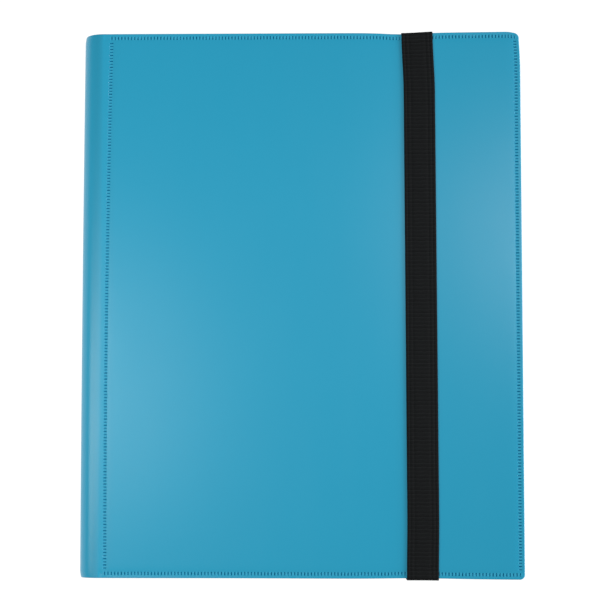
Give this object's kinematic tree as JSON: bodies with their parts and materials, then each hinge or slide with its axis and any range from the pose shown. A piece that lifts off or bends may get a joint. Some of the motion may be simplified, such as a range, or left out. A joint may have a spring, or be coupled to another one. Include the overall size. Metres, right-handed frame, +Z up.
{
  "type": "trading card binder",
  "caption": "Side-loading pocket-page binder for trading cards, with welded padded covers, a half-round spine and an elastic strap.",
  "frame": {"origin": "centre of the closed binder's footprint, on the surface that the back cover lies on", "axes": "+X from the spine to the fore edge, +Y from foot to head, +Z up out of the front cover"},
  "size_m": [0.266, 0.332, 0.026],
  "materials": {
    "cover_skin": "satin polypropylene sheet",
    "board": "grey binder's board",
    "liner": "fine matt grain",
    "page_sheet": "matt black sheet",
    "pocket_film": "clear polypropylene film",
    "elastic": "ribbed woven elastic",
    "crimp": "plated sheet steel"
  },
  "bodies": {
    "back_cover": {"back_panel_skin": "cover_skin", "back_board": "board", "back_liner": "liner", "strap_head_tail": "elastic", "strap_foot_tail": "elastic", "strap_head_crimp": "crimp", "strap_foot_crimp": "crimp"},
    "spine": {"spine_skin": "cover_skin", "page_channel": "liner"},
    "front_cover": {"front_panel_skin": "cover_skin", "front_board": "board", "front_liner": "liner"},
    "strap_sides": {"strap_head_run": "elastic", "strap_foot_run": "elastic"},
    "strap_front": {"strap_front_run": "elastic"},
    "page_01": {"page_01_sheet": "page_sheet", "page_01_pockets": "pocket_film"},
    "page_02": {"page_02_sheet": "page_sheet", "page_02_pockets": "pocket_film"},
    "page_03": {"page_03_sheet": "page_sheet", "page_03_pockets": "pocket_film"},
    "page_04": {"page_04_sheet": "page_sheet", "page_04_pockets": "pocket_film"},
    "page_05": {"page_05_sheet": "page_sheet", "page_05_pockets": "pocket_film"},
    "page_06": {"page_06_sheet": "page_sheet", "page_06_pockets": "pocket_film"},
    "page_07": {"page_07_sheet": "page_sheet", "page_07_pockets": "pocket_film"},
    "page_08": {"page_08_sheet": "page_sheet", "page_08_pockets": "pocket_film"},
    "page_09": {"page_09_sheet": "page_sheet", "page_09_pockets": "pocket_film"},
    "page_10": {"page_10_sheet": "page_sheet", "page_10_pockets": "pocket_film"},
    "page_11": {"page_11_sheet": "page_sheet", "page_11_pockets": "pocket_film"},
    "page_12": {"page_12_sheet": "page_sheet", "page_12_pockets": "pocket_film"},
    "page_13": {"page_13_sheet": "page_sheet", "page_13_pockets": "pocket_film"},
    "page_14": {"page_14_sheet": "page_sheet", "page_14_pockets": "pocket_film"},
    "page_15": {"page_15_sheet": "page_sheet", "page_15_pockets": "pocket_film"},
    "page_16": {"page_16_sheet": "page_sheet", "page_16_pockets": "pocket_film"},
    "page_17": {"page_17_sheet": "page_sheet", "page_17_pockets": "pocket_film"},
    "page_18": {"page_18_sheet": "page_sheet", "page_18_pockets": "pocket_film"},
    "page_19": {"page_19_sheet": "page_sheet", "page_19_pockets": "pocket_film"},
    "page_20": {"page_20_sheet": "page_sheet", "page_20_pockets": "pocket_film"}
  },
  "joints": [
    {"name": "spine_hinge", "type": "hinge", "parent": "back_cover", "child": "spine", "pos_m": [-0.1201, 0, 0.0004], "axis": [0, -1, 0], "range_deg": [0, 90]},
    {"name": "front_cover_hinge", "type": "hinge", "parent": "spine", "child": "front_cover", "pos_m": [-0.1201, 0, 0.0246], "axis": [0, -1, 0], "range_deg": [0, 90]},
    {"name": "page_01_hinge", "type": "hinge", "parent": "spine", "child": "page_01", "pos_m": [-0.1179, 0, 0.022], "axis": [0, -1, 0], "range_deg": [0, 83]},
    {"name": "page_02_hinge", "type": "hinge", "parent": "spine", "child": "page_02", "pos_m": [-0.1179, 0, 0.021], "axis": [0, -1, 0], "range_deg": [0, 75]},
    {"name": "page_03_hinge", "type": "hinge", "parent": "spine", "child": "page_03", "pos_m": [-0.1179, 0, 0.02], "axis": [0, -1, 0], "range_deg": [0, 66]},
    {"name": "page_04_hinge", "type": "hinge", "parent": "spine", "child": "page_04", "pos_m": [-0.1179, 0, 0.019], "axis": [0, -1, 0], "range_deg": [0, 58]},
    {"name": "page_05_hinge", "type": "hinge", "parent": "spine", "child": "page_05", "pos_m": [-0.1179, 0, 0.018], "axis": [0, -1, 0], "range_deg": [0, 49]},
    {"name": "page_06_hinge", "type": "hinge", "parent": "spine", "child": "page_06", "pos_m": [-0.1179, 0, 0.017], "axis": [0, -1, 0], "range_deg": [0, 40]},
    {"name": "page_07_hinge", "type": "hinge", "parent": "spine", "child": "page_07", "pos_m": [-0.1179, 0, 0.016], "axis": [0, -1, 0], "range_deg": [0, 32]},
    {"name": "page_08_hinge", "type": "hinge", "parent": "spine", "child": "page_08", "pos_m": [-0.1179, 0, 0.015], "axis": [0, -1, 0], "range_deg": [0, 23]},
    {"name": "page_09_hinge", "type": "hinge", "parent": "spine", "child": "page_09", "pos_m": [-0.1179, 0, 0.014], "axis": [0, -1, 0], "range_deg": [0, 14]},
    {"name": "page_10_hinge", "type": "hinge", "parent": "spine", "child": "page_10", "pos_m": [-0.1179, 0, 0.013], "axis": [0, -1, 0], "range_deg": [0, 6]},
    {"name": "page_11_hinge", "type": "hinge", "parent": "spine", "child": "page_11", "pos_m": [-0.1179, 0, 0.012], "axis": [0, -1, 0], "range_deg": [-6, 0]},
    {"name": "page_12_hinge", "type": "hinge", "parent": "spine", "child": "page_12", "pos_m": [-0.1179, 0, 0.011], "axis": [0, -1, 0], "range_deg": [-14, 0]},
    {"name": "page_13_hinge", "type": "hinge", "parent": "spine", "child": "page_13", "pos_m": [-0.1179, 0, 0.01], "axis": [0, -1, 0], "range_deg": [-23, 0]},
    {"name": "page_14_hinge", "type": "hinge", "parent": "spine", "child": "page_14", "pos_m": [-0.1179, 0, 0.009], "axis": [0, -1, 0], "range_deg": [-32, 0]},
    {"name": "page_15_hinge", "type": "hinge", "parent": "spine", "child": "page_15", "pos_m": [-0.1179, 0, 0.008], "axis": [0, -1, 0], "range_deg": [-40, 0]},
    {"name": "page_16_hinge", "type": "hinge", "parent": "spine", "child": "page_16", "pos_m": [-0.1179, 0, 0.007], "axis": [0, -1, 0], "range_deg": [-49, 0]},
    {"name": "page_17_hinge", "type": "hinge", "parent": "spine", "child": "page_17", "pos_m": [-0.1179, 0, 0.006], "axis": [0, -1, 0], "range_deg": [-58, 0]},
    {"name": "page_18_hinge", "type": "hinge", "parent": "spine", "child": "page_18", "pos_m": [-0.1179, 0, 0.005], "axis": [0, -1, 0], "range_deg": [-66, 0]},
    {"name": "page_19_hinge", "type": "hinge", "parent": "spine", "child": "page_19", "pos_m": [-0.1179, 0, 0.004], "axis": [0, -1, 0], "range_deg": [-75, 0]},
    {"name": "page_20_hinge", "type": "hinge", "parent": "spine", "child": "page_20", "pos_m": [-0.1179, 0, 0.003], "axis": [0, -1, 0], "range_deg": [-83, 0]},
    {"name": "strap_release", "type": "hinge", "parent": "back_cover", "child": "strap_sides", "pos_m": [0.0815, 0, 0.00115], "axis": [0, 1, 0], "range_deg": [0, 75], "stiffness_Nm_per_rad": 0.4, "springref_deg": -17.19, "deforming": ["strap_head_run", "strap_foot_run"]},
    {"name": "strap_stretch", "type": "slide", "parent": "strap_sides", "child": "strap_front", "axis": [0, 0, 1], "range_m": [0, 0.04], "deforming": ["strap_front_run"]}
  ],
  "couplings": [
    {"joint": "front_cover_hinge", "follows": "spine_hinge", "ratio": 1},
    {"joint": "page_01_hinge", "follows": "spine_hinge", "ratio": 0.91},
    {"joint": "page_02_hinge", "follows": "spine_hinge", "ratio": 0.8142},
    {"joint": "page_03_hinge", "follows": "spine_hinge", "ratio": 0.7184},
    {"joint": "page_04_hinge", "follows": "spine_hinge", "ratio": 0.6226},
    {"joint": "page_05_hinge", "follows": "spine_hinge", "ratio": 0.5268},
    {"joint": "page_06_hinge", "follows": "spine_hinge", "ratio": 0.4311},
    {"joint": "page_07_hinge", "follows": "spine_hinge", "ratio": 0.3353},
    {"joint": "page_08_hinge", "follows": "spine_hinge", "ratio": 0.2395},
    {"joint": "page_09_hinge", "follows": "spine_hinge", "ratio": 0.1437},
    {"joint": "page_10_hinge", "follows": "spine_hinge", "ratio": 0.0479},
    {"joint": "page_11_hinge", "follows": "spine_hinge", "ratio": -0.0479},
    {"joint": "page_12_hinge", "follows": "spine_hinge", "ratio": -0.1437},
    {"joint": "page_13_hinge", "follows": "spine_hinge", "ratio": -0.2395},
    {"joint": "page_14_hinge", "follows": "spine_hinge", "ratio": -0.3353},
    {"joint": "page_15_hinge", "follows": "spine_hinge", "ratio": -0.4311},
    {"joint": "page_16_hinge", "follows": "spine_hinge", "ratio": -0.5268},
    {"joint": "page_17_hinge", "follows": "spine_hinge", "ratio": -0.6226},
    {"joint": "page_18_hinge", "follows": "spine_hinge", "ratio": -0.7184},
    {"joint": "page_19_hinge", "follows": "spine_hinge", "ratio": -0.8142},
    {"joint": "page_20_hinge", "follows": "spine_hinge", "ratio": -0.91},
    {"joint": "strap_stretch", "follows": "strap_release", "m_per_rad": 0.03}
  ]
}
